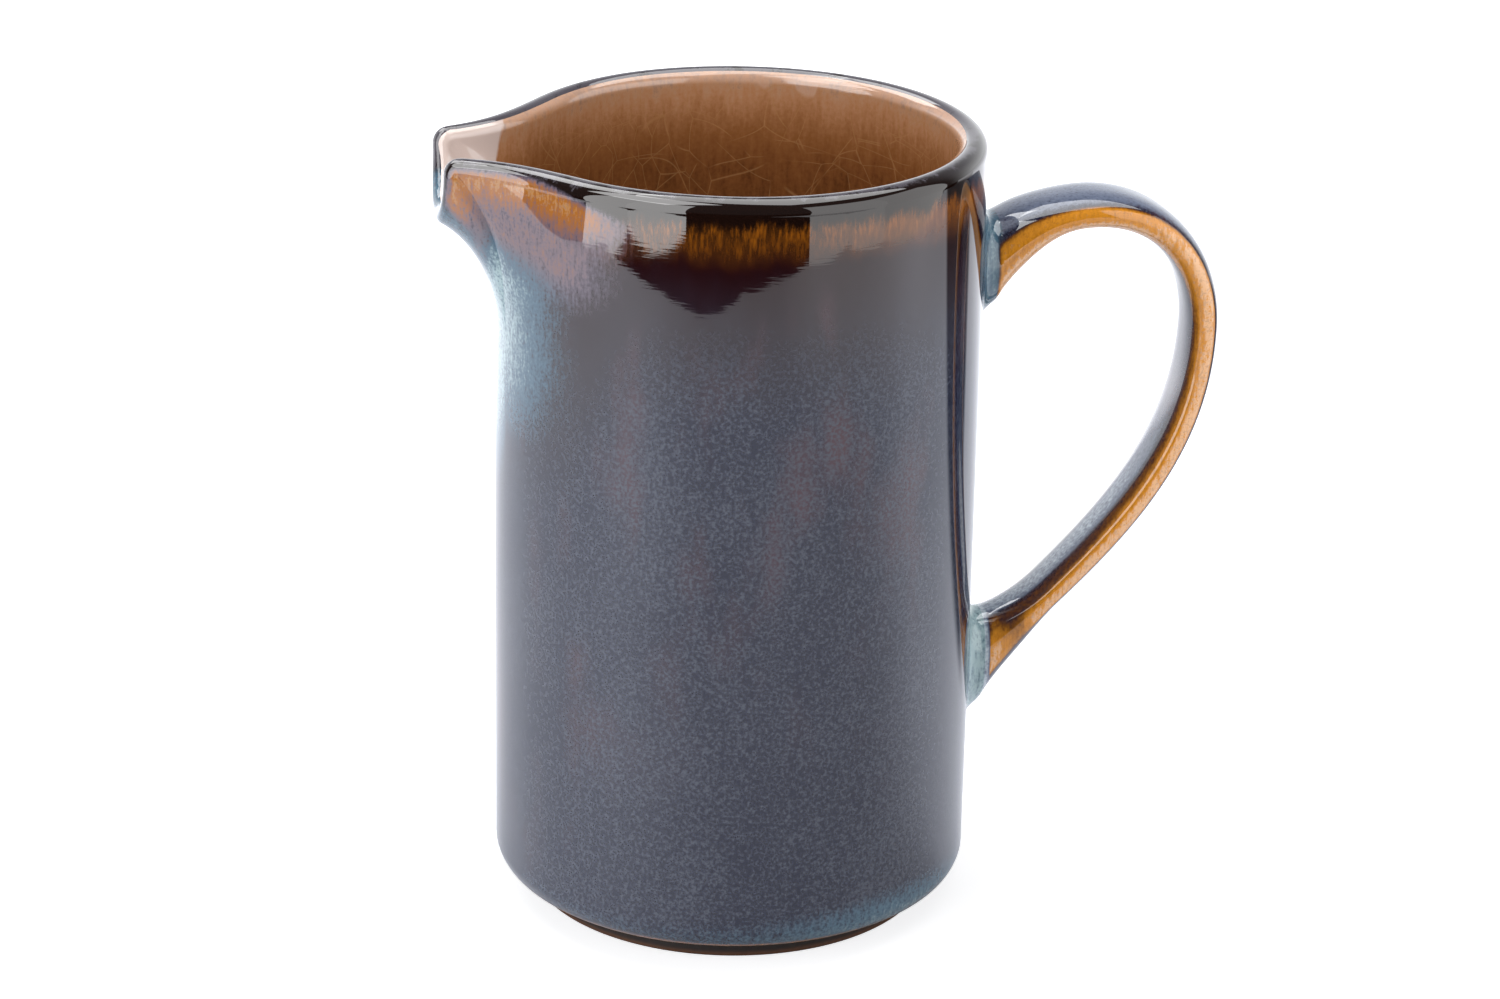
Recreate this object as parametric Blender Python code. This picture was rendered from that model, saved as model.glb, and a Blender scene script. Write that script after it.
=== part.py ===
"""Glazed stoneware milk jug: a straight-sided vessel with a pouring lip and a luted strap handle.

The vessel and the handle are clay, joined by two pads of slip.  Thin coats of glaze cover the
outside, the inside, the handle and the base, and leave the foot ring bare.

Metres, +Z up.  The handle points to +X and the pouring lip to -X, and the jug stands on z = 0
with the middle of its whole length over the origin.
"""

import math

import bmesh
import bpy
import numpy as np

# Vessel, measured on its glazed faces
JUG_HEIGHT = 0.1324
BODY_RADIUS = 0.0400
WALL = 0.0048
FLOOR = 0.0052
FLOOR_FILLET = 0.0065
HEEL_RADIUS = 0.0042

# Foot ring
FOOT_RADIUS = 0.0340
FOOT_WIDTH = 0.0050
FOOT_HEIGHT = 0.0035
FOOT_EDGE = 0.0007

# Pouring lip
SPOUT_REACH = 0.0500
SPOUT_ROOT = 0.0325
SPOUT_SPREAD = math.radians(40)
LIP_MOUTH = 0.0140
LIP_DEPTH = 0.0095
LIP_DIP = 0.0009
DIP_SPREAD = math.radians(75)
LIP_SETBACK = 0.0007
LIP_WALL = 0.0039
LIP_CORNER = 0.0007
LIP_SPLAY = math.radians(20)
LIP_RISE = math.radians(30)
CORNER_RISE = math.radians(50)

# Strap handle, measured on its glazed faces
APEX_WIDTH = 0.0145
APEX_THICKNESS = 0.0060
GRIP_WIDTH = 0.0128
GRIP_THICKNESS = 0.0054
TAIL_WIDTH = 0.0108
TAIL_THICKNESS = 0.0050
FINGER_ROOM = 0.0354
APEX_REACH = 0.0187
HANDLE_RISE = 0.0076
GRIP_DROP = 0.0210
UPPER_JOINT_DROP = 0.0224
LOWER_JOINT_HEIGHT = 0.0386
UPPER_JOINT_TALL = 0.0138
UPPER_JOINT_WIDE = 0.0156
LOWER_JOINT_TALL = 0.0154
LOWER_JOINT_WIDE = 0.0124
FLARE_LENGTH = 0.0160
UPPER_LEAVE = math.radians(48)
LOWER_ARRIVE = math.radians(45)
UPPER_PULL = 0.0055
APEX_PULL = 0.0075
GRIP_PULL = 0.0262
LOWER_PULL = 0.0240
STRAP_SQUARENESS = 2.5

# Slip joints
JOINT_STANDOFF = 0.0026
JOINT_FILLET = 0.0024
JOINT_TAIL = 0.0048

# Glaze coats, and the clearance between pieces that touch
GLAZE = 0.0005
SEAT_GAP = 0.0003
RIM_LAP = math.radians(120)

# Facets
LIP_STEPS = 5
CORNER_STEPS = 2
SIDE_STEPS = 6
ROUND_STEPS = 14
SPOUT_ROWS = 6
ARC_STEPS = 4
RIM_STEPS = 6
STRAP_SIDES = 16
STRAP_STEPS = (6, 7, 12)
JOINT_SIDES = 24
FILLET_STEPS = 4

# Worked out from the sizes above
COAT = GLAZE + SEAT_GAP
SEAM_GAP = 2 * SEAT_GAP
MID_RADIUS = BODY_RADIUS - WALL / 2
FLOOR_LEVEL = FOOT_HEIGHT + FLOOR
ROOT_LEVEL = JUG_HEIGHT - SPOUT_ROOT
JOINT_PLANE = BODY_RADIUS + JOINT_STANDOFF
HANDLE_REACH = BODY_RADIUS + FINGER_ROOM + GRIP_THICKNESS
UPPER_JOINT = JUG_HEIGHT - UPPER_JOINT_DROP
AXIS_X = (SPOUT_REACH - HANDLE_REACH) / 2

# Pulls of cubic curves, as shares of their span: the handle's shoulder and the lip's sides
SHOULDER_PULL = 0.59
SIDE_PULL = 0.37

# Share of the lip's side, from its corner, over which the wall turns upright
UPRIGHT_SHARE = 0.5

# Edges sharper than this stay crisp when shaded
SHARP_EDGE = math.radians(40)


def ease(share):
    """Smooth step from 0 to 1, level at both ends."""
    share = np.clip(share, 0, 1)
    return share * share * (3 - 2 * share)


def unit(vectors):
    return vectors / np.linalg.norm(vectors, axis=-1, keepdims=True)


def remove_scene_objects():
    for old in list(bpy.data.objects):
        bpy.data.objects.remove(old, do_unlink=True)


def glaze_or_clay(name, colour, roughness):
    material = bpy.data.materials.new(name)
    material.use_nodes = True
    shader = material.node_tree.nodes["Principled BSDF"]
    shader.inputs["Base Color"].default_value = (*colour, 1)
    shader.inputs["Roughness"].default_value = roughness
    shader.inputs["Metallic"].default_value = 0
    return material


def skin(name, rings, wrap=False):
    """Cover a list of rings with faces; wrap joins the last ring to the first.

    A ring of one point is a pole, and two poles in a row end one face and start the next.
    """
    mesh = bmesh.new()
    loops = [[mesh.verts.new(point) for point in ring] for ring in rings]
    pairs = list(zip(loops, loops[1:]))
    if wrap:
        pairs.append((loops[-1], loops[0]))
    for low, high in pairs:
        count = max(len(low), len(high))
        if count == 1:
            continue
        for k in range(count):
            after = (k + 1) % count
            corners = [low[0]] if len(low) == 1 else [low[k], low[after]]
            corners += [high[0]] if len(high) == 1 else [high[after], high[k]]
            mesh.faces.new(corners)
    data = bpy.data.meshes.new(name)
    mesh.to_mesh(data)
    mesh.free()
    data.shade_smooth()
    data.set_sharp_from_angle(angle=SHARP_EDGE)
    piece = bpy.data.objects.new(name, data)
    bpy.context.collection.objects.link(piece)
    return piece


def pole(x, z):
    return np.array([[x, 0, z]])


def bezier(a, b, c, d, share):
    """Points of a cubic curve from a to d, and its directions there."""
    t = share[:, None]
    points = (1 - t)**3 * a + 3 * (1 - t)**2 * t * b + 3 * (1 - t) * t**2 * c + t**3 * d
    return points, unit((1 - t)**2 * (b - a) + 2 * (1 - t) * t * (c - b) + t**2 * (d - c))


def rim_half():
    """Middle line of the wall's top edge, from the lip's lowest point round to the handle side.

    Seen from above it is a circle with two hollow sides that leave it at a tangent and run to the
    lip, where the rim dips a little.  The lip's end is an open trough whose edge drops in half an
    ellipse.  Returns each column's top point, its direction there and the wall's thickness, with
    points and directions as (forward, across, up).
    """
    tip = SPOUT_REACH - LIP_WALL / 2
    half_mouth = (LIP_MOUTH + LIP_WALL) / 2
    back = np.array([-math.cos(LIP_SPLAY), math.sin(LIP_SPLAY)])
    shoulder = np.array([tip - LIP_SETBACK, half_mouth])
    trough_top = JUG_HEIGHT - LIP_DIP - LIP_WALL / 2 - LIP_CORNER
    trough_floor = JUG_HEIGHT - LIP_DIP - LIP_DEPTH - LIP_WALL / 2

    # The trough's end, from its floor up its side
    turn = np.linspace(0, math.pi / 2, LIP_STEPS + 1)
    trough = np.column_stack([tip - LIP_SETBACK * np.sin(turn)**2, half_mouth * np.sin(turn),
                              trough_top + (trough_floor - trough_top) * np.cos(turn)])
    trough_rise = LIP_RISE + (CORNER_RISE - LIP_RISE) * ease(turn / turn[-1])
    trough_heading = -LIP_SPLAY * np.sin(turn)

    # The rounded corner, where the edge turns back along the rim
    turn = np.linspace(0, math.pi / 2, CORNER_STEPS + 1)[1:]
    plan = shoulder + LIP_CORNER * (1 - np.cos(turn))[:, None] * back
    corner = np.column_stack([plan, trough_top + LIP_CORNER * np.sin(turn)])

    # The side, hollow beside the lip and swelling into the round
    start = shoulder + LIP_CORNER * back
    end = MID_RADIUS * np.array([math.cos(SPOUT_SPREAD), math.sin(SPOUT_SPREAD)])
    onward = np.array([-math.sin(SPOUT_SPREAD), math.cos(SPOUT_SPREAD)])
    pull = SIDE_PULL * np.linalg.norm(end - start)
    share = np.linspace(0, 1, SIDE_STEPS + 1)[1:]
    plan, direction = bezier(start, start + pull * back, end - pull * onward, end, share)
    side = np.column_stack([plan, 0 * share])
    side_rise = CORNER_RISE + (math.pi / 2 - CORNER_RISE) * ease(share / UPRIGHT_SHARE)
    side_heading = np.arctan2(-direction[:, 1], -direction[:, 0])

    # The round of the vessel
    angle = np.linspace(SPOUT_SPREAD, math.pi, ROUND_STEPS + 1)[1:]
    circle = np.column_stack([MID_RADIUS * np.cos(angle), MID_RADIUS * np.sin(angle), 0 * angle])

    top = np.concatenate([trough, corner, side, circle])
    rise = np.concatenate([trough_rise, np.full(len(corner), CORNER_RISE), side_rise,
                           np.full(len(circle), math.pi / 2)])
    heading = np.concatenate([trough_heading, np.full(len(corner), -LIP_SPLAY), side_heading, 0 * angle])
    pull = np.column_stack([np.cos(rise) * np.cos(heading), np.cos(rise) * np.sin(heading),
                            np.sin(rise)])
    spread = (np.hypot(top[:, 0], top[:, 1]) - MID_RADIUS) / (tip - MID_RADIUS)
    thickness = WALL + (LIP_WALL - WALL) * np.clip(spread, 0, 1)
    dip = LIP_DIP * (1 - ease(np.arctan2(top[:, 1], top[:, 0]) / DIP_SPREAD))
    rim = slice(len(trough) + len(corner), None)
    top[rim, 2] = (JUG_HEIGHT - dip - thickness / 2)[rim]
    return top, pull, thickness


def all_round(half):
    """Mirror half a ring of (forward, across, up) rows into a whole one, anticlockwise from above."""
    near = half * np.array([-1, -1, 1])
    far = half[-2:0:-1] * np.array([-1, 1, 1])
    return np.concatenate([near, far])


class Vessel:
    """The middle sheet of the vessel's wall above the spout's root, from which each face is set off."""

    def __init__(self):
        top, pull, thickness = rim_half()
        self.top = all_round(top)
        pull = all_round(pull)
        lip = np.concatenate([thickness, thickness[-2:0:-1]])
        self.around = unit(self.top[:, :2])
        root = np.column_stack([MID_RADIUS * self.around, np.full(len(lip), ROOT_LEVEL)])

        # Each column is a cubic curve that leaves the root upright and ends along its pull
        chord = np.linalg.norm(self.top - root, axis=1, keepdims=True)
        t = np.linspace(0, 1, SPOUT_ROWS + 1)[:, None, None]
        leave = chord * np.array([0, 0, 1])
        arrive = chord * pull
        self.sheet = ((2 * t**3 - 3 * t**2 + 1) * root + (t**3 - 2 * t**2 + t) * leave
                      + (3 * t**2 - 2 * t**3) * self.top + (t**3 - t**2) * arrive)
        upward = ((6 * t**2 - 6 * t) * (root - self.top) + (3 * t**2 - 4 * t + 1) * leave
                  + (3 * t**2 - 2 * t) * arrive)
        onward = np.roll(self.sheet, -1, axis=1) - np.roll(self.sheet, 1, axis=1)
        self.normal = unit(np.cross(onward, upward))
        self.normal[0] = np.column_stack([self.around, np.zeros(len(lip))])
        self.rise = unit(np.cross(self.normal[-1], onward[-1]))
        self.thickness = WALL + (lip - WALL) * ease(t[:, :, 0])

    def circle(self, radius, level):
        return np.column_stack([radius * self.around, np.full(len(self.around), level)])

    def wall(self, inset, side):
        """Rings from the spout's root to the rim, on the outside (side 1) or the inside (side -1)."""
        offset = side * (self.thickness / 2 - inset)
        return list(self.sheet + offset[:, :, None] * self.normal)

    def rim(self, inset, angles):
        """Rings over the rounded rim, by angle from its outside; an angle may vary by column."""
        radius = (self.thickness[-1] / 2 - inset)[:, None]
        rings = []
        for angle in angles:
            angle = np.broadcast_to(angle, len(radius))[:, None]
            rings.append(self.top + radius * (np.cos(angle) * self.normal[-1]
                                              + np.sin(angle) * self.rise))
        return rings

    def heel(self, inset):
        """Rings round the heel, from the underside to the wall."""
        radius = HEEL_RADIUS - inset
        rings = []
        for angle in np.linspace(0, math.pi / 2, ARC_STEPS + 1):
            rings.append(self.circle(BODY_RADIUS - HEEL_RADIUS + radius * math.sin(angle),
                                     FOOT_HEIGHT + HEEL_RADIUS - radius * math.cos(angle)))
        return rings

    def hollow_floor(self, inset):
        """Rings round the inside corner, from the wall to the floor, and the floor's middle."""
        radius = FLOOR_FILLET + inset
        inside = BODY_RADIUS - WALL
        rings = []
        for angle in np.linspace(0, math.pi / 2, ARC_STEPS + 1):
            rings.append(self.circle(inside - FLOOR_FILLET + radius * math.cos(angle),
                                     FLOOR_LEVEL + FLOOR_FILLET - radius * math.sin(angle)))
        return rings + [pole(0, FLOOR_LEVEL - inset)]

    def seam(self):
        """Angle on the rim where the liner starts, past the end of the outer coat."""
        return RIM_LAP + SEAM_GAP / (self.thickness[-1] / 2 - GLAZE)


def stoneware_body(vessel):
    """Clay vessel with its foot ring: one turned and pulled closed form."""
    ceiling = FOOT_HEIGHT + COAT
    inner = FOOT_RADIUS - FOOT_WIDTH
    foot = [pole(0, ceiling), vessel.circle(inner, ceiling), vessel.circle(inner, FOOT_EDGE),
            vessel.circle(inner + FOOT_EDGE, 0), vessel.circle(FOOT_RADIUS - FOOT_EDGE, 0),
            vessel.circle(FOOT_RADIUS, FOOT_EDGE), vessel.circle(FOOT_RADIUS, ceiling)]
    over_rim = vessel.rim(COAT, np.linspace(0, math.pi, RIM_STEPS + 1)[1:-1])
    rings = foot + vessel.heel(COAT) + vessel.wall(COAT, 1) + over_rim
    rings += vessel.wall(COAT, -1)[::-1] + vessel.hollow_floor(COAT)
    return skin("stoneware_body", rings)


def outer_glaze(vessel):
    """Coat from the foot ring up the outside and over the rim."""
    def face(inset):
        first = [vessel.circle(FOOT_RADIUS + SEAT_GAP, FOOT_HEIGHT + inset)]
        lap = vessel.rim(inset, np.linspace(0, RIM_LAP, RIM_STEPS)[1:])
        return first + vessel.heel(inset) + vessel.wall(inset, 1) + lap
    return skin("outer_glaze", face(0) + face(GLAZE)[::-1], wrap=True)


def liner_glaze(vessel):
    """Coat from the inner side of the rim down the inside and over the floor."""
    def face(inset):
        lap = vessel.rim(inset, [vessel.seam(), (vessel.seam() + math.pi) / 2])
        return lap + vessel.wall(inset, -1)[::-1] + vessel.hollow_floor(inset)
    return skin("liner_glaze", face(0) + face(GLAZE)[::-1], wrap=True)


def base_glaze(vessel):
    """Thin disc of glaze in the recess inside the foot ring."""
    edge = FOOT_RADIUS - FOOT_WIDTH - SEAT_GAP
    rings = [pole(0, FOOT_HEIGHT), vessel.circle(edge, FOOT_HEIGHT),
             vessel.circle(edge, FOOT_HEIGHT + GLAZE), pole(0, FOOT_HEIGHT + GLAZE)]
    return skin("base_glaze", rings)


def strap_section(width, height, count):
    """Outline between an ellipse (squareness 2) and a rectangle, as (across, along) points."""
    angle = np.linspace(0, 2 * math.pi, count, endpoint=False)
    cosine, sine = np.cos(angle), np.sin(angle)
    power = 2 / STRAP_SQUARENESS
    return np.column_stack([width / 2 * np.sign(cosine) * np.abs(cosine) ** power,
                            height / 2 * np.sign(sine) * np.abs(sine) ** power])


def handle_path():
    """Middle line of the strap in the jug's plane: up from the upper joint, over and down to the lower.

    Three cubic curves meet at the top of the handle and at its widest point.  Returns the points
    and their directions, the strap's width and thickness there, and the distances along the line.
    """
    first = np.array([JOINT_PLANE, UPPER_JOINT])
    apex = np.array([BODY_RADIUS + APEX_REACH, UPPER_JOINT + HANDLE_RISE])
    grip = np.array([HANDLE_REACH - GRIP_THICKNESS / 2, apex[1] - GRIP_DROP])
    last = np.array([JOINT_PLANE, LOWER_JOINT_HEIGHT])
    leave = UPPER_PULL * np.array([math.cos(UPPER_LEAVE), math.sin(UPPER_LEAVE)])
    arrive = LOWER_PULL * np.array([math.cos(LOWER_ARRIVE), math.sin(LOWER_ARRIVE)])
    shoulder = SHOULDER_PULL * (grip - apex)
    curves = [(first, first + leave, apex - [APEX_PULL, 0], apex),
              (apex, apex + [shoulder[0], 0], grip - [0, shoulder[1]], grip),
              (grip, grip - [0, GRIP_PULL], last + arrive, last)]
    points, directions = [], []
    for curve, steps in zip(curves, STRAP_STEPS):
        share = np.linspace(0, 1, steps + 1)[:steps + (curve[3] is last)]
        point, direction = bezier(*curve, share)
        points.append(point)
        directions.append(direction)
    points = np.concatenate(points)
    along = np.concatenate([[0], np.cumsum(np.linalg.norm(np.diff(points, axis=0), axis=1))])
    knots = along[[STRAP_STEPS[0], STRAP_STEPS[0] + STRAP_STEPS[1], -1]]
    width = np.interp(along, knots, [APEX_WIDTH, GRIP_WIDTH, TAIL_WIDTH])
    thickness = np.interp(along, knots, [APEX_THICKNESS, GRIP_THICKNESS, TAIL_THICKNESS])
    return points, np.concatenate(directions), width, thickness, along


def handle_rings(inset):
    """Rings of the strap, which swells into both joints and ends there on an upright plane."""
    points, directions, width, thickness, along = handle_path()
    upper = np.clip(1 - along / FLARE_LENGTH, 0, 1)
    lower = np.clip(1 - (along[-1] - along) / FLARE_LENGTH, 0, 1)
    thickness += (UPPER_JOINT_TALL - thickness) * upper**2 + (LOWER_JOINT_TALL - thickness) * lower**2
    width += (UPPER_JOINT_WIDE - width) * upper**2 + (LOWER_JOINT_WIDE - width) * lower**2
    outward = np.column_stack([-directions[:, 1], directions[:, 0]])
    outward += (np.array([0, 1]) - outward) * ease(upper)[:, None]
    outward += (np.array([0, -1]) - outward) * ease(lower)[:, None]
    outward = unit(outward)
    rings = []
    for point, out, wide, thick in zip(points, outward, width, thickness):
        across, depth = strap_section(wide - 2 * inset, thick - 2 * inset, STRAP_SIDES).T
        rings.append(np.column_stack([point[0] + depth * out[0], across, point[1] + depth * out[1]]))
    return rings


def stoneware_handle():
    rings = handle_rings(COAT)
    ends = [ring.mean(axis=0, keepdims=True) for ring in (rings[0], rings[-1])]
    return skin("stoneware_handle", [ends[0]] + rings + [ends[1]])


def handle_glaze():
    return skin("handle_glaze", handle_rings(0) + handle_rings(GLAZE)[::-1], wrap=True)


def on_cylinder(outline, radius, level):
    """Lay an outline of (across, along) points on an upright cylinder, on the handle's side."""
    across, along = outline.T
    return np.column_stack([np.sqrt(radius**2 - across**2), across, level + along])


def joint_outline(wide, tall, side, tail):
    """The handle's end section, let out by a margin all round and by a longer one below."""
    outline = strap_section(wide + 2 * side, tall + 2 * side, JOINT_SIDES)
    below = outline[:, 1] < 0
    outline[below, 1] *= (tall / 2 + tail) / (tall / 2 + side)
    return outline


def slip_joint(name, level, wide, tall):
    """Pad of slip between the vessel and an end of the handle, with a hollow fillet round it."""
    seat = BODY_RADIUS - COAT + SEAT_GAP
    front = JOINT_PLANE - SEAT_GAP
    foot = joint_outline(wide, tall, JOINT_FILLET, JOINT_TAIL)
    head = joint_outline(wide, tall, 0, 0)
    rings = [pole(seat, level), on_cylinder(foot / 2, seat, level), on_cylinder(foot, seat, level)]
    for angle in np.linspace(0, math.pi / 2, FILLET_STEPS + 1):
        outline = foot + (head - foot) * math.sin(angle)
        ring = on_cylinder(outline, BODY_RADIUS, level)
        ring[:, 0] += (front - ring[:, 0]) * (1 - math.cos(angle))
        rings.append(ring)
    return skin(name, rings + [pole(front, level)])


def cut_joint_window(coat, level, wide, tall):
    """Open the outer coat round a joint, where the slip meets bare clay."""
    outline = joint_outline(wide, tall, JOINT_FILLET + SEAT_GAP, JOINT_TAIL + SEAT_GAP)
    across, along = outline.T
    depths = (BODY_RADIUS - WALL, BODY_RADIUS + WALL)
    rings = [np.column_stack([np.full(len(outline), x), across, level + along]) for x in depths]
    cutter = skin("joint_window_cutter", [pole(depths[0], level), *rings, pole(depths[1], level)])
    cutter.hide_render = True
    cutter.display_type = "WIRE"
    cutter.parent = coat
    cut = coat.modifiers.new("joint window", "BOOLEAN")
    cut.operation = "DIFFERENCE"
    cut.solver = "EXACT"
    cut.object = cutter


remove_scene_objects()

jug_axis = bpy.data.objects.new("jug_axis", None)
jug_axis.location = (AXIS_X, 0, 0)
bpy.context.collection.objects.link(jug_axis)

jug = Vessel()
coat = outer_glaze(jug)
finishes = {
    stoneware_body(jug): glaze_or_clay("bare stoneware", (0.23, 0.12, 0.06), 0.75),
    coat: glaze_or_clay("slate blue glaze", (0.060, 0.066, 0.090), 0.12),
    liner_glaze(jug): glaze_or_clay("brown crackle glaze", (0.20, 0.095, 0.045), 0.15),
    base_glaze(jug): glaze_or_clay("dark base glaze", (0.040, 0.030, 0.028), 0.25),
    stoneware_handle(): glaze_or_clay("handle stoneware", (0.23, 0.12, 0.06), 0.75),
    handle_glaze(): glaze_or_clay("honey glaze", (0.48, 0.24, 0.075), 0.12),
}
joints = {"upper_slip_joint": (UPPER_JOINT, UPPER_JOINT_WIDE, UPPER_JOINT_TALL),
          "lower_slip_joint": (LOWER_JOINT_HEIGHT, LOWER_JOINT_WIDE, LOWER_JOINT_TALL)}
for name, place in joints.items():
    cut_joint_window(coat, *place)
    finish = glaze_or_clay(name.replace("_", " "), (0.12, 0.20, 0.22), 0.15)
    finishes[slip_joint(name, *place)] = finish
for piece, finish in finishes.items():
    piece.data.materials.append(finish)
    piece.parent = jug_axis
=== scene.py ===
"""Looks of a glazed stoneware milk jug: its clay, its glazes, and a plain studio round it.

Metres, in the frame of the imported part: +Z up, the handle towards +X, the pouring lip towards -X.
"""

import math

import bmesh
import bpy
import numpy as np
from mathutils import Matrix, Vector


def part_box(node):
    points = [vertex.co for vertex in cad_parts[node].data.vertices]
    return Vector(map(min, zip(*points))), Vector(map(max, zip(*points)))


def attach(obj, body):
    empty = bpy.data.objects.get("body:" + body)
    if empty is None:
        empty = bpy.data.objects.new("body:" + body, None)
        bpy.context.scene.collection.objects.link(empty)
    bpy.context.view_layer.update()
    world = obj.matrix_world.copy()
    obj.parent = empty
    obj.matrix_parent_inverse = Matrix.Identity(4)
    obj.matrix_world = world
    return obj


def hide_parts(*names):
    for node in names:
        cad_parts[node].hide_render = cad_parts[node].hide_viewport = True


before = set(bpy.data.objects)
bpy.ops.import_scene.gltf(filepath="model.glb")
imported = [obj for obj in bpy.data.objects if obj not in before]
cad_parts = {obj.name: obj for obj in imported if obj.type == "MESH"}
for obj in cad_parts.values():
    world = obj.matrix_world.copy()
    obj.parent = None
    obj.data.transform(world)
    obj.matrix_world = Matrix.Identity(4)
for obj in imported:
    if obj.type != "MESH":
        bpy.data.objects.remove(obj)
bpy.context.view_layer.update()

# Clay vessel
# The body of the jug is brown stoneware, with its wall, pouring lip, floor and foot ring in one.
# Glaze covers it all but the foot ring, which is wiped bare so that the jug doesn't stick in the kiln.

coat_low, coat_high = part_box("outer_glaze")
BODY_RADIUS = coat_high.y
JUG_HEIGHT = coat_high.z
AXIS_X = coat_high.x - BODY_RADIUS
SPOUT_REACH = AXIS_X - coat_low.x
WALL = 0.0048
FLOOR = 0.0052
FLOOR_FILLET = 0.0065
HEEL_RADIUS = 0.0042
FOOT_RADIUS = 0.0340
FOOT_WIDTH = 0.0050
FOOT_HEIGHT = 0.0035
FOOT_EDGE = 0.0007
SPOUT_ROOT = 0.0325
SPOUT_SPREAD = math.radians(40)
LIP_MOUTH = 0.0140
LIP_DEPTH = 0.0095
LIP_DIP = 0.0009
DIP_SPREAD = math.radians(75)
LIP_SETBACK = 0.0007
LIP_WALL = 0.0039
LIP_CORNER = 0.0007
LIP_SPLAY = math.radians(20)
LIP_RISE = math.radians(30)
CORNER_RISE = math.radians(50)
SIDE_PULL = 0.37
UPRIGHT_SHARE = 0.5
FAIRING_PULL = 0.5
FAIRING_FADE = 0.45
COAT = 0.0008
MID_RADIUS = BODY_RADIUS - WALL / 2
FLOOR_LEVEL = FOOT_HEIGHT + FLOOR
ROOT_LEVEL = JUG_HEIGHT - SPOUT_ROOT
SHARP_EDGE = math.radians(40)
MERGE = 1e-7


def ease(share):
    """Smooth step from 0 to 1: 3 s^2 - 2 s^3, level at both ends."""
    share = np.clip(share, 0, 1)
    return share * share * (3 - 2 * share)


def unit(vectors):
    """Vectors divided by their lengths."""
    return vectors / np.linalg.norm(vectors, axis=-1, keepdims=True)


def bezier(a, b, c, d, share):
    """Cubic curve (1-t)^3 a + 3 (1-t)^2 t b + 3 (1-t) t^2 c + t^3 d, and its unit directions."""
    t = share[:, None]
    points = (1 - t)**3 * a + 3 * (1 - t)**2 * t * b + 3 * (1 - t) * t**2 * c + t**3 * d
    return points, unit((1 - t)**2 * (b - a) + 2 * (1 - t) * t * (c - b) + t**2 * (d - c))


def rim_half(lip_steps=26, corner_steps=8, side_steps=44, round_steps=110):
    """Middle line of the wall's top edge, from the lip's lowest point round to the handle side.

    The lip's end is half an ellipse that rises from the trough's floor; a small quarter circle
    turns it back along the rim; a cubic curve, hollow in plan, carries it on to the vessel's
    circle.  Gives each column's top point, its direction there and the wall's thickness, as
    (forward, across, up).
    """
    tip = SPOUT_REACH - LIP_WALL / 2
    half_mouth = (LIP_MOUTH + LIP_WALL) / 2
    back = np.array([-math.cos(LIP_SPLAY), math.sin(LIP_SPLAY)])
    shoulder = np.array([tip - LIP_SETBACK, half_mouth])
    trough_top = JUG_HEIGHT - LIP_DIP - LIP_WALL / 2 - LIP_CORNER
    trough_floor = JUG_HEIGHT - LIP_DIP - LIP_DEPTH - LIP_WALL / 2

    turn = np.linspace(0, math.pi / 2, lip_steps + 1)
    trough = np.column_stack([tip - LIP_SETBACK * np.sin(turn)**2, half_mouth * np.sin(turn),
                              trough_top + (trough_floor - trough_top) * np.cos(turn)])
    trough_rise = LIP_RISE + (CORNER_RISE - LIP_RISE) * ease(turn / turn[-1])
    trough_heading = -LIP_SPLAY * np.sin(turn)

    turn = np.linspace(0, math.pi / 2, corner_steps + 1)[1:]
    plan = shoulder + LIP_CORNER * (1 - np.cos(turn))[:, None] * back
    corner = np.column_stack([plan, trough_top + LIP_CORNER * np.sin(turn)])

    start = shoulder + LIP_CORNER * back
    end = MID_RADIUS * np.array([math.cos(SPOUT_SPREAD), math.sin(SPOUT_SPREAD)])
    onward = np.array([-math.sin(SPOUT_SPREAD), math.cos(SPOUT_SPREAD)])
    pull = SIDE_PULL * np.linalg.norm(end - start)
    share = np.linspace(0, 1, side_steps + 1)[1:]
    plan, direction = bezier(start, start + pull * back, end - pull * onward, end, share)
    side = np.column_stack([plan, 0 * share])
    side_rise = CORNER_RISE + (math.pi / 2 - CORNER_RISE) * ease(share / UPRIGHT_SHARE)
    side_heading = np.arctan2(-direction[:, 1], -direction[:, 0])

    angle = np.linspace(SPOUT_SPREAD, math.pi, round_steps + 1)[1:]
    circle = np.column_stack([MID_RADIUS * np.cos(angle), MID_RADIUS * np.sin(angle), 0 * angle])

    top = np.concatenate([trough, corner, side, circle])
    rise = np.concatenate([trough_rise, np.full(len(corner), CORNER_RISE), side_rise,
                           np.full(len(circle), math.pi / 2)])
    heading = np.concatenate([trough_heading, np.full(len(corner), -LIP_SPLAY), side_heading,
                              0 * angle])
    pull = np.column_stack([np.cos(rise) * np.cos(heading), np.cos(rise) * np.sin(heading),
                            np.sin(rise)])
    spread = (np.hypot(top[:, 0], top[:, 1]) - MID_RADIUS) / (tip - MID_RADIUS)
    thickness = WALL + (LIP_WALL - WALL) * np.clip(spread, 0, 1)
    dip = LIP_DIP * (1 - ease(np.arctan2(top[:, 1], top[:, 0]) / DIP_SPREAD))
    rim = slice(len(trough) + len(corner), None)
    top[rim, 2] = (JUG_HEIGHT - dip - thickness / 2)[rim]
    return top, pull, thickness


def all_round(half):
    """Mirror half a ring of (forward, across, up) rows into a whole one, anticlockwise from above."""
    near = half * np.array([-1, -1, 1])
    far = half[-2:0:-1] * np.array([-1, 1, 1])
    return np.concatenate([near, far])


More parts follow.
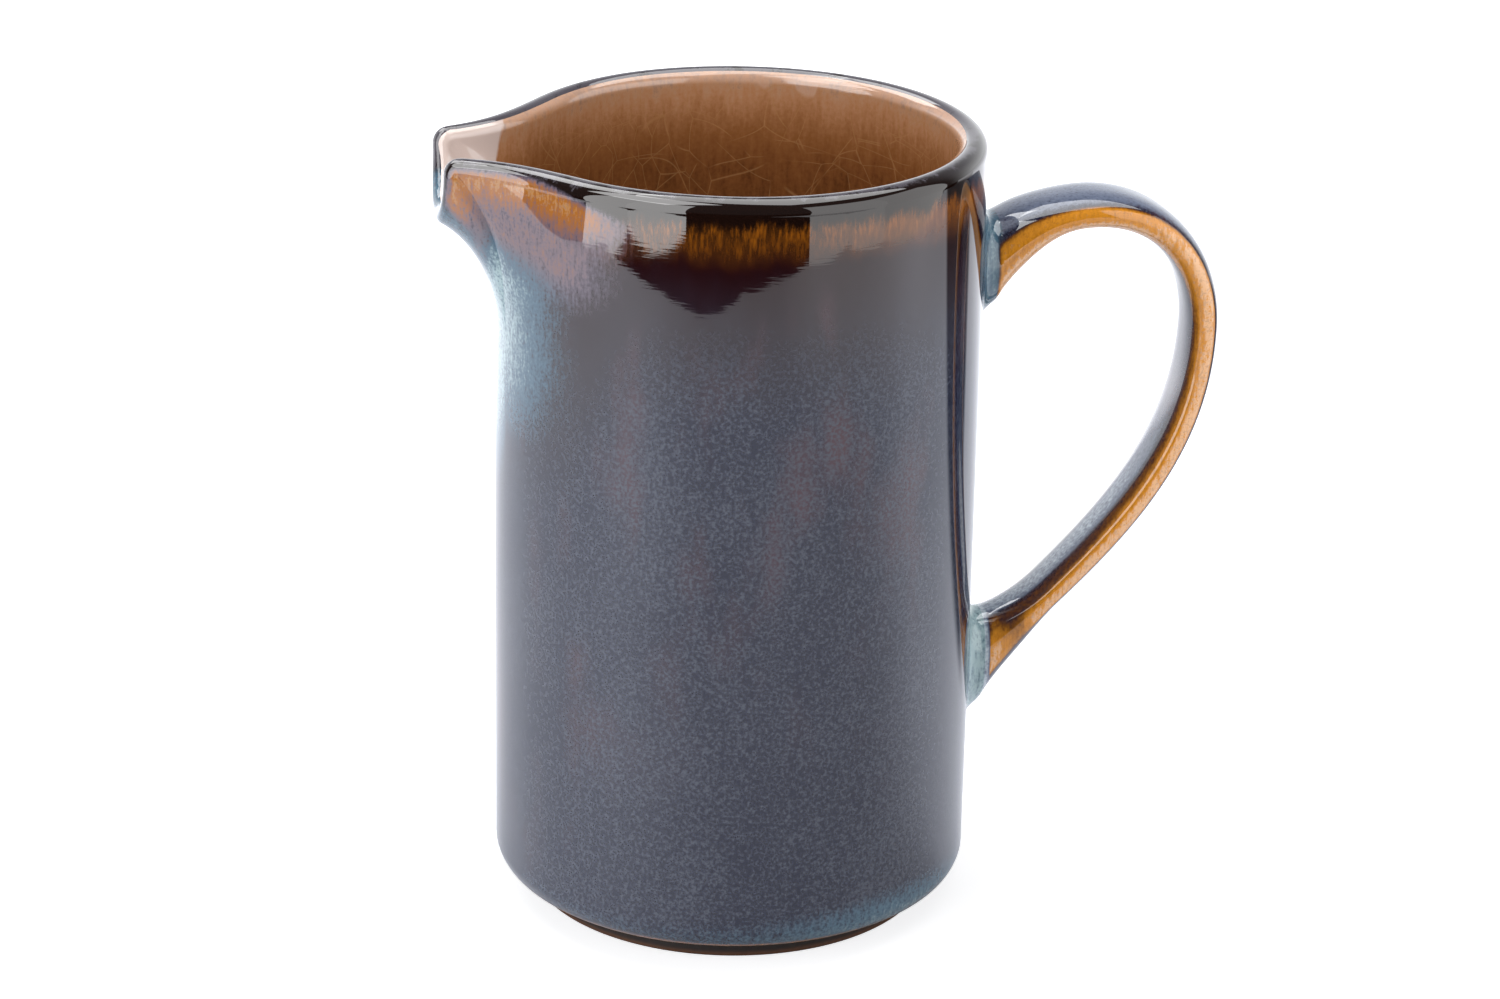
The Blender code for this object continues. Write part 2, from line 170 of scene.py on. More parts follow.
class Vessel:
    """Faces of the vessel, as rings about an axis at x = 0, set off from the middle sheet of its wall."""

    def __init__(self, spout_rows=48, fairing=160):
        """The sheet's columns are Hermite cubics from an upright root circle to the rim, along its pull.

        Each round of fairing draws every point's distance from the plain cylinder towards the middle of
        its two neighbours', below the rim only, which softens the fold under each corner of the lip.
        """
        top, pull, thickness = rim_half()
        self.top = all_round(top)
        pull = all_round(pull)
        lip = np.concatenate([thickness, thickness[-2:0:-1]])
        self.around = unit(self.top[:, :2])
        self.angle = np.arctan2(self.top[:, 1], self.top[:, 0])
        root = np.column_stack([MID_RADIUS * self.around, np.full(len(lip), ROOT_LEVEL)])
        chord = np.linalg.norm(self.top - root, axis=1, keepdims=True)
        t = np.linspace(0, 1, spout_rows + 1)[:, None, None]
        leave = chord * np.array([0, 0, 1])
        arrive = chord * pull
        self.sheet = ((2 * t**3 - 3 * t**2 + 1) * root + (t**3 - 2 * t**2 + t) * leave
                      + (3 * t**2 - 2 * t**3) * self.top + (t**3 - t**2) * arrive)
        swell = self.sheet[:, :, :2] - root[:, :2]
        softness = FAIRING_PULL * ease((1 - t) / FAIRING_FADE)
        for _ in range(fairing):
            middle = (np.roll(swell, -1, axis=1) + np.roll(swell, 1, axis=1)) / 2
            swell += softness * (middle - swell)
        self.sheet[:, :, :2] = root[:, :2] + swell
        upward = np.gradient(self.sheet, axis=0)
        onward = np.roll(self.sheet, -1, axis=1) - np.roll(self.sheet, 1, axis=1)
        self.normal = unit(np.cross(onward, upward))
        self.normal[0] = np.column_stack([self.around, np.zeros(len(lip))])
        self.rise = unit(np.cross(self.normal[-1], onward[-1]))
        self.thickness = WALL + (lip - WALL) * ease(t[:, :, 0])

    def circles(self, radii, levels):
        """Rings of the given radii at the given heights."""
        radii, levels = np.broadcast_arrays(np.atleast_1d(radii), levels)
        rings = np.empty((len(radii), len(self.around), 3))
        rings[:, :, :2] = radii[:, None, None] * self.around
        rings[:, :, 2] = levels[:, None]
        return rings

    def wall(self, inset, side):
        """Rings from the spout's root to the rim, half the wall's thickness to one side of the sheet."""
        offset = side * (self.thickness / 2 - inset)
        return self.sheet + offset[:, :, None] * self.normal

    def rim(self, inset, angles):
        """Half circles over the rim, by angle from its outside, in the plane across its edge."""
        radius = (self.thickness[-1] / 2 - inset)[None, :, None]
        angle = np.asarray(angles)[:, None, None]
        return self.top + radius * (np.cos(angle) * self.normal[-1] + np.sin(angle) * self.rise)

    def heel(self, inset, steps=14):
        """Quarter circle from the underside out to the wall."""
        angle = np.linspace(0, math.pi / 2, steps + 1)
        radius = HEEL_RADIUS - inset
        return self.circles(BODY_RADIUS - HEEL_RADIUS + radius * np.sin(angle),
                            FOOT_HEIGHT + HEEL_RADIUS - radius * np.cos(angle))

    def straight(self, radius, bottom, rows):
        """Upright rings from just over the bottom to just under the spout's root."""
        levels = np.linspace(bottom, ROOT_LEVEL, rows + 2)[1:-1]
        return self.circles(np.full(rows, radius), levels)

    def floor(self, inset, steps=14, rings=8):
        """Quarter circle from the inside wall to the floor, then rings in to the middle."""
        angle = np.linspace(0, math.pi / 2, steps + 1)
        radius = FLOOR_FILLET + inset
        inside = BODY_RADIUS - WALL - FLOOR_FILLET
        corner = self.circles(inside + radius * np.cos(angle),
                              FLOOR_LEVEL + FLOOR_FILLET - radius * np.sin(angle))
        level = self.circles(inside * np.linspace(1, 0, rings + 1)[1:], FLOOR_LEVEL - inset)
        return np.concatenate([corner, level])


def mesh_piece(name, rings, loop=False, **fields):
    """A mesh whose vertices are the rings' points, with a quad between each two columns and rings.

    Every ring is closed; loop joins the last ring to the first.  A ring drawn in to one point
    becomes a pole.  Fields are attributes with one number for each point.
    """
    rows, columns = rings.shape[:2]
    index = np.arange(rows * columns).reshape(rows, columns)
    low = index if loop else index[:-1]
    high = np.roll(index, -1, axis=0) if loop else index[1:]
    quads = np.stack([low, np.roll(low, -1, axis=1), np.roll(high, -1, axis=1), high], axis=-1)
    mesh = bpy.data.meshes.new(name)
    mesh.vertices.add(rows * columns)
    mesh.vertices.foreach_set("co", (rings + [AXIS_X, 0, 0]).astype(np.float32).ravel())
    mesh.loops.add(quads.size)
    mesh.loops.foreach_set("vertex_index", quads.astype(np.int32).ravel())
    mesh.polygons.add(low.size)
    mesh.polygons.foreach_set("loop_start", np.arange(0, quads.size, 4, dtype=np.int32))
    for field, values in fields.items():
        values = np.broadcast_to(values, (rows, columns)).astype(np.float32)
        mesh.attributes.new(field, "FLOAT", "POINT").data.foreach_set("value", values.ravel())
    mesh.update(calc_edges=True)
    shape = bmesh.new()
    shape.from_mesh(mesh)
    bmesh.ops.remove_doubles(shape, verts=shape.verts, dist=MERGE)
    shape.to_mesh(mesh)
    shape.free()
    mesh.shade_smooth()
    mesh.set_sharp_from_angle(angle=SHARP_EDGE)
    piece = bpy.data.objects.new(name, mesh)
    bpy.context.collection.objects.link(piece)
    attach(piece, "root")
    return piece


class Paint:
    """A socket of a finish's node tree; sums and products with it add Math nodes."""

    def __init__(self, tree, socket=None):
        self.tree = tree
        self.socket = socket

    def node(self, kind, settings=None, sockets=None, output=0):
        """Add a node, set its settings, then its sockets' values or links, and give one output."""
        made = self.tree.nodes.new(kind)
        for name, value in (settings or {}).items():
            if name == "stops":
                self.set_stops(made.color_ramp, value)
            else:
                setattr(made, name, value)
        for name, value in (sockets or {}).items():
            if isinstance(value, Paint):
                self.tree.links.new(value.socket, made.inputs[name])
            else:
                made.inputs[name].default_value = value
        return Paint(self.tree, made.outputs[output])

    def set_stops(self, ramp, stops):
        """Give a ramp its (place, colour) stops, in order."""
        for place, colour in stops[2:]:
            ramp.elements.new(place)
        for element, (place, colour) in zip(ramp.elements, stops):
            element.position = place
            element.color = (*colour, 1)

    def maths(self, operation, a, b):
        """A Math node on two values."""
        return self.node("ShaderNodeMath", {"operation": operation}, {0: a, 1: b})

    def __add__(self, other):
        return self.maths("ADD", self, other)

    def __radd__(self, other):
        return self.maths("ADD", other, self)

    def __sub__(self, other):
        return self.maths("SUBTRACT", self, other)

    def __rsub__(self, other):
        return self.maths("SUBTRACT", other, self)

    def __mul__(self, other):
        return self.maths("MULTIPLY", self, other)

    def __rmul__(self, other):
        return self.maths("MULTIPLY", other, self)

    def step(self, start, end):
        """Smooth step of this value, from 0 at start to 1 at end."""
        return self.node("ShaderNodeMapRange", {"interpolation_type": "SMOOTHSTEP"},
                         {"Value": self, "From Min": start, "From Max": end})

    def mix(self, a, b):
        """Colour a where this value is 0 and colour b where it is 1."""
        a, b = (c if isinstance(c, Paint) else (*c, 1) for c in (a, b))
        return self.node("ShaderNodeMix", {"data_type": "RGBA"}, {0: self, 6: a, 7: b}, 2)

    def ramp(self, stops):
        """Colours along this value."""
        return self.node("ShaderNodeValToRGB", {"stops": stops}, {0: self})

    def axis(self, index):
        """One of these coordinates: 0 for x, 1 for y, 2 for z."""
        return self.node("ShaderNodeSeparateXYZ", None, {0: self}, index)

    def stretched(self, scale):
        """These coordinates multiplied by a scale for each axis."""
        return self.node("ShaderNodeVectorMath", {"operation": "MULTIPLY"}, {0: self, 1: scale})

    def noise(self, scale, detail=2.0, roughness=0.5, output=0):
        """Cloudy noise, about 0.5, on these coordinates; output 1 is noise in three axes."""
        return self.node("ShaderNodeTexNoise", None, {"Vector": self, "Scale": scale, "Detail": detail,
                                                      "Roughness": roughness}, output)

    def bump(self, strength, distance):
        """Normals of this height."""
        return self.node("ShaderNodeBump", None, {"Height": self, "Strength": strength,
                                                  "Distance": distance})

    def attribute(self, name):
        """A number that the mesh holds at each point."""
        return self.node("ShaderNodeAttribute", {"attribute_name": name}, None, 2)

    def place(self):
        """Object coordinates, in metres."""
        return self.node("ShaderNodeTexCoord", None, None, 3)


class Finish:
    """A material with one Principled shader, whose sockets take constants or painted values."""

    def __init__(self, name):
        self.material = bpy.data.materials.new(name)
        self.material.use_nodes = True
        self.shader = self.material.node_tree.nodes["Principled BSDF"]
        self.paint = Paint(self.material.node_tree)

    def set(self, **sockets):
        """Set or link the shader's sockets, with _ for the spaces in their names."""
        for name, value in sockets.items():
            socket = self.shader.inputs[name.replace("_", " ")]
            if isinstance(value, Paint):
                self.material.node_tree.links.new(value.socket, socket)
            else:
                socket.default_value = value

    def onto(self, piece, slot):
        """Give a piece this finish in place of any other.  The slot argument is not used."""
        piece.data.materials.clear()
        piece.data.materials.append(self.material)


NOISE_MEAN = 0.5
CLAY = (0.110, 0.048, 0.022)
CLAY_RUST = (0.070, 0.026, 0.011)
CLAY_DARK = (0.016, 0.011, 0.010)
CLAY_ROUGHNESS = 0.55
GRAIN_ROUGHNESS = 0.3
GRAIN_SHARE = 0.6
SANDY = (0.25, 0.75)
UPPER_DARK_SPAN = (0.0005, 0.0014)
UPPER_DARK_WANDER = 0.0006


def bare_clay(name):
    """Fired brown clay: darker towards the top, near the glaze, sandy and rust red at its wiped edge."""
    clay = Finish(name)
    place = clay.paint.place()
    grain = place.noise(scale=900, detail=3)
    patch = place.noise(scale=90)
    upper_dark = (place.axis(2) + (patch - NOISE_MEAN) * UPPER_DARK_WANDER).step(*UPPER_DARK_SPAN)
    sandy = (grain * GRAIN_SHARE + patch * (1 - GRAIN_SHARE)).step(*SANDY)
    clay.set(Base_Color=upper_dark.mix(sandy.mix(CLAY_RUST, CLAY), CLAY_DARK),
             Roughness=CLAY_ROUGHNESS + grain * GRAIN_ROUGHNESS,
             Normal=grain.bump(strength=0.25, distance=0.0002))
    return clay


EDGE_STEPS = 6
HIDDEN_STEPS = 6
HIDDEN_RIM_STEPS = 8
HIDDEN_ROWS = 8

vessel = Vessel()
turn = np.linspace(0, math.pi / 2, EDGE_STEPS + 1)
inner = FOOT_RADIUS - FOOT_WIDTH
ceiling = FOOT_HEIGHT + COAT
foot_profile = np.concatenate([
    [(0, ceiling), (inner, ceiling)],
    np.column_stack([inner + FOOT_EDGE * (1 - np.cos(turn)), FOOT_EDGE * (1 - np.sin(turn))]),
    np.column_stack([FOOT_RADIUS - FOOT_EDGE * (1 - np.sin(turn)), FOOT_EDGE * (1 - np.cos(turn))]),
    [(FOOT_RADIUS, ceiling)]])
hidden_rim = np.linspace(0, math.pi, HIDDEN_RIM_STEPS + 1)[1:-1]
clay_rings = np.concatenate([
    vessel.circles(*foot_profile.T), vessel.heel(COAT, HIDDEN_STEPS), vessel.wall(COAT, 1)[::HIDDEN_ROWS],
    vessel.rim(COAT, hidden_rim), vessel.wall(COAT, -1)[::-HIDDEN_ROWS], vessel.floor(COAT, HIDDEN_STEPS)])
clay_vessel = mesh_piece("clay_vessel", clay_rings)
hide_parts("stoneware_body")
bare_clay("bare stoneware").onto(clay_vessel, "bare_stoneware")

# Outer glaze
# A glossy reactive glaze, poured over the outside and the rim.  Where it runs thin, at the rim, it
# breaks to black and amber; lower down it is slate navy; where it pools it turns milky blue.

GLAZE_EDGE = 0.0004
GLAZE_IOR = 1.70
GLAZE_ROUGHNESS = 0.008
SPECK_ROUGHNESS = 0.02
SPECK_RELIEF = 0.06
RIPPLE_RELIEF = 0.26
CLOUD_RELIEF = 0.5
BREAK_SPAN = 0.040
STREAK_SHIFT = 0.0030
FALL_SHIFT = 0.0050
CREST = (0.060, 0.054, 0.064)
BROWN_BLACK = (0.0070, 0.0028, 0.0020)
AMBER = (0.25, 0.075, 0.005)
MAROON = (0.013, 0.0028, 0.0036)
PLUM = (0.017, 0.0105, 0.0160)
NAVY = (0.0060, 0.0085, 0.0260)
NAVY_LIGHT = (0.046, 0.053, 0.076)
BLUSH = (0.058, 0.026, 0.034)
MAUVE = (0.110, 0.092, 0.124)
GOLD = (0.30, 0.108, 0.020)
PEACH = (0.36, 0.180, 0.068)
TEAL = (0.050, 0.100, 0.145)
MILK = (0.27, 0.37, 0.39)
RUN_SHADES = ((0.000, CREST), (0.012, CREST), (0.030, BROWN_BLACK), (0.150, BROWN_BLACK),
              (0.300, MAROON), (0.560, PLUM), (0.950, NAVY))
EMBER_IN = (0.118, 0.180)
EMBER_OUT = (0.175, 0.320)
EMBER_STREAKS = (0.40, 0.84)
EMBER_LEAST = 0.17
HANDLE_SIDE = (-0.012, 0.010)
HANDLE_SIDE_EMBER = 0.30
BLUSH_IN = (0.30, 0.60)
BLUSH_OUT = (1.2, 2.8)
BLUSH_CLOUDS = (0.48, 0.75)
BLUSH_MOST = 0.8
FRECKLE_IN = (0.20, 0.80)
FRECKLE_MEAN = 0.38
FRECKLE_SWING = 2.8
FRECKLE_CLOUDS = 0.7
NAVY_IN = (0.35, 0.95)
STREAK_SWING = 1.2
SPECK_SWING = 0.8
FRINGE_IN = (0.05, 0.45)
HONEY_IN = (0.25, 0.95)
BRIGHT_IN = (0.95, 1.25)
FLECK_IN = (0.50, 0.80)
FLECK_SPECKS = (0.50, 0.64)
FLECK_MOST = 0.25
PALE_IN = (0.12, 0.50)
MILK_IN = (0.45, 1.10)
RIPPLE_IN = (0.03, 0.12)


def reactive_glaze(name, fringe=MAUVE, honey=GOLD, bright=PEACH, pale=TEAL, milk=MILK, grit=1.5):
    """Glaze whose colour follows three fields: run, its distance below a thin edge, thin and pool.

    Noise drawn out downwards shifts the run before it is read from a ramp: grey, black, maroon,
    plum and navy.  Amber embers glow between the black and the maroon, more of them on the handle's
    side, and a blush and light freckles lie over the rest.  Thin glaze breaks through a fringe colour
    to honey, and to a brighter one where it is thinnest.  Pooled glaze turns pale and then milky.
    """
    glaze = Finish(name)
    place = glaze.paint.place()
    run, thin, pool = (place.attribute(field) for field in ("run", "thin", "pool"))
    streak = place.stretched((1, 1, 0.22)).noise(scale=1700, detail=3, roughness=0.6)
    fall = place.stretched((1, 1, 0.30)).noise(scale=260)
    cloud = place.stretched((1, 1, 0.50)).noise(scale=80, detail=3)
    flush = place.stretched((1, 1, 0.40)).noise(scale=100, detail=3)
    ripple = place.stretched((1, 1, 12)).noise(scale=160)
    speck = place.noise(scale=1800, roughness=0.6)
    streaky = streak - NOISE_MEAN
    specky = speck - NOISE_MEAN
    depth = (run + streaky * STREAK_SHIFT + (fall - NOISE_MEAN) * FALL_SHIFT) * (1 / BREAK_SPAN)

    side = place.axis(0).step(*HANDLE_SIDE) * HANDLE_SIDE_EMBER
    ember = depth.step(*EMBER_IN) * (1 - depth.step(*EMBER_OUT))
    ember = ember * (EMBER_LEAST + side + (1 - EMBER_LEAST - side) * streak.step(*EMBER_STREAKS))
    blush = flush.step(*BLUSH_CLOUDS) * depth.step(*BLUSH_IN) * (1 - depth.step(*BLUSH_OUT)) * BLUSH_MOST
    freckle = specky * FRECKLE_SWING * depth.step(*FRECKLE_IN) + (cloud - NOISE_MEAN) * FRECKLE_CLOUDS
    freckle = (FRECKLE_MEAN + freckle).step(0, 1) * depth.step(*NAVY_IN)
    deep = freckle.mix(blush.mix(ember.mix(depth.ramp(RUN_SHADES), AMBER), BLUSH), NAVY_LIGHT)

    bared = thin * (1 + (streaky * STREAK_SWING + specky * SPECK_SWING) * grit)
    warm = bared.step(*FRINGE_IN).mix(deep, fringe)
    warm = bared.step(*HONEY_IN).mix(warm, honey)
    warm = bared.step(*BRIGHT_IN).mix(warm, bright)
    warm = (speck.step(*FLECK_SPECKS) * bared.step(*FLECK_IN) * FLECK_MOST).mix(warm, fringe)

    wet = pool * (1 + streaky * STREAK_SWING + specky * grit)
    blue = wet.step(*PALE_IN).mix(warm, pale)
    rippled = (ripple - NOISE_MEAN) * depth.step(*RIPPLE_IN)
    relief = speck * SPECK_RELIEF + rippled * RIPPLE_RELIEF + cloud * CLOUD_RELIEF
    glaze.set(Base_Color=wet.step(*MILK_IN).mix(blue, milk), IOR=GLAZE_IOR,
              Roughness=GLAZE_ROUGHNESS + speck * SPECK_ROUGHNESS,
              Normal=relief.bump(strength=0.012, distance=0.0004))
    return glaze


RIM_LAP = math.radians(128)
LAP_STEPS = 25
LAP_SINK = 0.00012
LAP_SINK_START = 1.9
BACK_STEPS = 4
BACK_LAP = 6
STRAIGHT_ROWS = 44
WAVE = 0.00003
WAVES = ((95, 0, 40, 1), (0, 110, -55, 2), (75, 75, 90, 0))


def waved(rings, normals):
    """Rings let in by up to WAVE along their normals, by the sum of a few slow sine waves.

    Each wave is the sine of its turns per metre along x, y and z, in radians, plus its phase.
    """
    wave = sum(np.sin(rings @ np.array(turns) + phase) for *turns, phase in WAVES)
    depth = WAVE * (wave + len(WAVES)) / (2 * len(WAVES))
    return rings - depth[:, :, None] * normals


lap_angles = np.linspace(0, RIM_LAP, LAP_STEPS + 1)[1:]
lap = vessel.rim(0, lap_angles)
lap_sink = LAP_SINK * ease((lap_angles - LAP_SINK_START) / (RIM_LAP - LAP_SINK_START))
lap -= lap_sink[:, None, None] * unit(lap - vessel.top)
straight = vessel.straight(BODY_RADIUS, FOOT_HEIGHT + HEEL_RADIUS, STRAIGHT_ROWS)
outward = np.broadcast_to(np.column_stack([vessel.around, np.zeros(len(vessel.around))]), straight.shape)
foot_seam = FOOT_RADIUS - GLAZE_EDGE
face = np.concatenate([vessel.circles(foot_seam, FOOT_HEIGHT + GLAZE_EDGE), vessel.heel(0),
                       waved(straight, outward), waved(vessel.wall(0, 1), vessel.normal), lap])
back = np.concatenate([vessel.rim(COAT, lap_angles[::-BACK_LAP]), vessel.wall(COAT, 1)[::-HIDDEN_ROWS],
                       vessel.heel(COAT, BACK_STEPS)[::-1], vessel.circles(foot_seam, FOOT_HEIGHT + COAT)])

SPOUT_SIDE = (0.62, 1.10)
SPOUT_RUN_LOSS = 0.35
LIP_END = (0.13, 0.19)
LIP_END_FALL = (0.008, 0.012)
LIP_END_POOL = 0.45
THIN_TOP = 0.0014
THIN_TOP_FALL = 0.0034
THIN_TOP_SIDE = (0.40, 1.00)
THIN_EDGE = (0, 0.0028)
THIN_MOST = 1.12
THIN_LOSS = 0.72
THIN_LOSS_FALL = (0.0020, 0.0085)
THIN_END = (0.015, 0.028)
HEM = (0.0009, 0.0016)
MILK_SPREAD = 0.52
MILK_TOP = (0.010, 0.022)
MILK_TAIL = (0.032, 0.058)
UNDER_LIP = (0.10, 0.28)
UNDER_LIP_TOP = (0.007, 0.011)
UNDER_LIP_TAIL = (0.016, 0.026)
UNDER_LIP_POOL = 0.35
HEEL_POOL = (0.003, 0.015)
HEEL_POOL_LEAST = 0.25
HEEL_POOL_MORE = 0.42
HEEL_POOL_FACES = math.radians(-52)
HEEL_POOL_SPREAD = 0.60


def angle_from(direction):
    """Each column's angle from a direction round the axis, from 0 to pi."""
    return np.abs((vessel.angle - direction + math.pi) % (2 * math.pi) - math.pi)


def rising(values, span):
    """Smooth step of values from 0 at the span's start to 1 at its end."""
    start, end = span
    return ease((values - start) / (end - start))


def falling(values, span):
    """Smooth step of values from 1 at the span's start to 0 at its end."""
    return 1 - rising(values, span)


def bell(offset, spread):
    """Bell curve exp(-(offset / spread)^2), 1 in the middle."""
    return np.exp(-(offset / spread)**2)


def with_back(field, back):
    """A field of the outer face, followed by zeros for the hidden inner one."""
    return np.concatenate([field, np.zeros(back.shape[:2])])


crest = len(face) - len(lap) + int(np.searchsorted(lap_angles, math.pi / 2))
lengths = np.linalg.norm(np.diff(face[:crest + 1], axis=0), axis=2)
below = np.zeros(face.shape[:2])
below[:crest] = np.cumsum(lengths[::-1], axis=0)[::-1]
height = face[:, :, 2]
from_lip = angle_from(math.pi)
spout_side = falling(from_lip, SPOUT_SIDE)
lip_end = falling(from_lip, LIP_END) * falling(below, LIP_END_FALL)
hem = falling(height - FOOT_HEIGHT, HEM)
run = below * (1 - SPOUT_RUN_LOSS * spout_side)
below_top = below - THIN_TOP - THIN_TOP_FALL * rising(from_lip, THIN_TOP_SIDE)
thinness = THIN_MOST - THIN_LOSS * rising(below_top, THIN_LOSS_FALL)
thin = spout_side * rising(below_top, THIN_EDGE) * thinness * falling(below, THIN_END)
thin = thin * (1 - lip_end) + hem
under_spout = bell(from_lip, MILK_SPREAD) * rising(below, MILK_TOP) * falling(below, MILK_TAIL)
under_lip = falling(from_lip, UNDER_LIP) * rising(below, UNDER_LIP_TOP) * falling(below, UNDER_LIP_TAIL)
heel_front = bell(angle_from(HEEL_POOL_FACES), HEEL_POOL_SPREAD)
heel_pool = falling(height, HEEL_POOL) * (HEEL_POOL_LEAST + HEEL_POOL_MORE * heel_front)
pool = under_spout + heel_pool + LIP_END_POOL * lip_end + UNDER_LIP_POOL * under_lip
pool = np.clip(pool, 0, 1) * (1 - hem)
glaze_coat = mesh_piece("glaze_coat", np.concatenate([face, back]), loop=True, run=with_back(run, back),
                        thin=with_back(thin, back), pool=with_back(pool, back))
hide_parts("outer_glaze")
reactive_glaze("slate blue reactive glaze").onto(glaze_coat, "outer_glaze")

# Liner glaze
# The inside is lined with a clear brown glaze, poured in and out.  It has crazed: fine curved
# cracks run through it, stained a little lighter than the glaze.

GLAZE = 0.0005
LINER_START = math.radians(112)
LINER_STEPS = 13
LINER_SINK_SPAN = 0.8
LINER_ROWS = 12
LINER_SHADES = ((0.00, (0.100, 0.034, 0.010)), (0.15, (0.160, 0.057, 0.017)),
                (0.32, (0.205, 0.078, 0.025)), (0.50, (0.265, 0.112, 0.044)),
                (0.68, (0.350, 0.165, 0.080)), (0.78, (0.360, 0.190, 0.105)),
                (0.90, (0.235, 0.140, 0.095)))
LINER_PALING = (0.114, 0.134)
LINER_ROUGHNESS = 0.06
LINER_STREAK = 0.40
LINER_MOTTLE = 0.20
LINER_SPECK = 0.25
LINER_PALE = 0.75
LINER_SHADE_DROP = 0.325
CRACK = (0.34, 0.17, 0.070)
CRACK_CELLS = (58, 82, 112)
CRACK_WIDTH = 0.00013
CRACK_BEND = 0.018
CRACK_GAP_CELLS = 1.6
CRACK_GAPS = (0.36, 0.48)
CRACK_MOST = 0.45
CRACK_RELIEF = 0.4
STREAK_RELIEF = 0.5
# Painted highlight: a pale pinkish band along the inside of the rim, hanging down in drip shapes.
RIM_HIGHLIGHT = (0.60, 0.43, 0.35)
RIM_HIGHLIGHT_LEVEL = JUG_HEIGHT - 0.0026
RIM_HIGHLIGHT_EDGE = (0.0, 0.0011)
HIGHLIGHT_DRIP_PLACES = (0.60, 0.70)
HIGHLIGHT_DRIP_LENGTH = 0.0020
RIM_HIGHLIGHT_WANDER = 0.0012
RIM_HIGHLIGHT_MOST = 0.25
# Painted highlight: a pale pinkish patch over the inside of the lip, where a soft light reflects.
LIP_HIGHLIGHT = (0.52, 0.42, 0.38)
LIP_HIGHLIGHT_FROM = -0.0527
LIP_HIGHLIGHT_EDGE = (0.0, 0.0006)
LIP_HIGHLIGHT_LEAN = 0.25
LIP_HIGHLIGHT_WANDER = 0.0008


def crackle_glaze(name):
    """Brown glaze, streaked downwards and paler near the rim, with cracks along Voronoi cells' edges.

    Noise bends the cells, so that the cracks curve, and breaks them off.  A painted highlight, pale
    with drip-shaped lower edges, lies along its top edge, and another covers the inside of the lip.
    """
    glaze = Finish(name)
    place = glaze.paint.place()
    height = place.axis(2)
    streak = place.stretched((1, 1, 0.22)).noise(scale=900, detail=3, roughness=0.6)
    mottle = place.stretched((1, 1, 0.60)).noise(scale=120, detail=3)
    speck = place.noise(scale=1500, roughness=0.6)
    paling = height.step(*LINER_PALING)
    body = streak * LINER_STREAK + mottle * LINER_MOTTLE + speck * LINER_SPECK + paling * LINER_PALE
    body = (body - LINER_SHADE_DROP).ramp(LINER_SHADES)
    bent = place.node("ShaderNodeVectorMath", {"operation": "MULTIPLY_ADD"},
                      {0: place.noise(scale=42, detail=0, output=1), 1: (CRACK_BEND,) * 3, 2: place})
    cracks = 0.0
    for cells in CRACK_CELLS:
        edge = place.node("ShaderNodeTexVoronoi", {"feature": "DISTANCE_TO_EDGE"},
                          {"Vector": bent, "Scale": cells})
        kept = place.noise(scale=cells * CRACK_GAP_CELLS, detail=1).step(*CRACK_GAPS)
        cracks = place.maths("MAXIMUM", cracks, (1 - edge.step(0, CRACK_WIDTH * cells)) * kept)
    crazed = (cracks * CRACK_MOST).mix(body, CRACK)
    above = height - RIM_HIGHLIGHT_LEVEL
    # Painted highlight along the top of the inside wall, with drip-shaped lower edges.
    highlight_drips = place.stretched((1, 1, 0.10)).noise(scale=110).step(*HIGHLIGHT_DRIP_PLACES) * HIGHLIGHT_DRIP_LENGTH
    rim_highlight = (above + highlight_drips + (mottle - NOISE_MEAN) * RIM_HIGHLIGHT_WANDER).step(*RIM_HIGHLIGHT_EDGE) * RIM_HIGHLIGHT_MOST
    # Painted highlight on the inside of the lip, bounded by a leaning line that wanders with the streaks.
    lip_highlight = LIP_HIGHLIGHT_FROM - place.axis(0) + above * LIP_HIGHLIGHT_LEAN + (streak - NOISE_MEAN) * LIP_HIGHLIGHT_WANDER
    glaze.set(Base_Color=lip_highlight.step(*LIP_HIGHLIGHT_EDGE).mix(rim_highlight.mix(crazed, RIM_HIGHLIGHT), LIP_HIGHLIGHT),
              Roughness=LINER_ROUGHNESS + streak * LINER_ROUGHNESS, IOR=GLAZE_IOR,
              Normal=(streak * STREAK_RELIEF - cracks * CRACK_RELIEF).bump(strength=0.06, distance=0.0003))
    return glaze


liner_angles = np.linspace(LINER_START, math.pi, LINER_STEPS + 1)[:-1]
liner_lap = vessel.rim(0, liner_angles)
liner_sink = LAP_SINK * (1 - ease((liner_angles - LINER_START) / LINER_SINK_SPAN))
liner_lap -= liner_sink[:, None, None] * unit(liner_lap - vessel.top)
liner_straight = vessel.straight(BODY_RADIUS - WALL, FLOOR_LEVEL + FLOOR_FILLET, LINER_ROWS)
liner_rings = np.concatenate([
    vessel.floor(GLAZE, BACK_STEPS)[::-1], vessel.wall(GLAZE, -1)[::HIDDEN_ROWS],
    vessel.rim(GLAZE, liner_angles[::-BACK_LAP]), liner_lap, vessel.wall(0, -1)[::-1],
    liner_straight[::-1], vessel.floor(0)])
liner_coat = mesh_piece("liner_coat", liner_rings)
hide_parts("liner_glaze")
crackle_glaze("brown crackle glaze").onto(liner_coat, "liner_glaze")

# Base glaze
# The recess inside the foot ring holds a thin skin of dark glaze, which the photograph doesn't show.
# It is brushed in, and creeps a little way down the ring at its edge.

BASE_MENISCUS = 0.0012
BASE_DRAW = 0.0003
BASE_RINGS = 24
BASE_DARK = (0.016, 0.011, 0.012)
BASE_BROWN = (0.060, 0.036, 0.024)
BASE_BROWN_IN = (0.35, 0.70)
BASE_CLOUD_SHARE = 0.7
BASE_ROUGHNESS = 0.16
BASE_SPECK_ROUGHNESS = 0.14

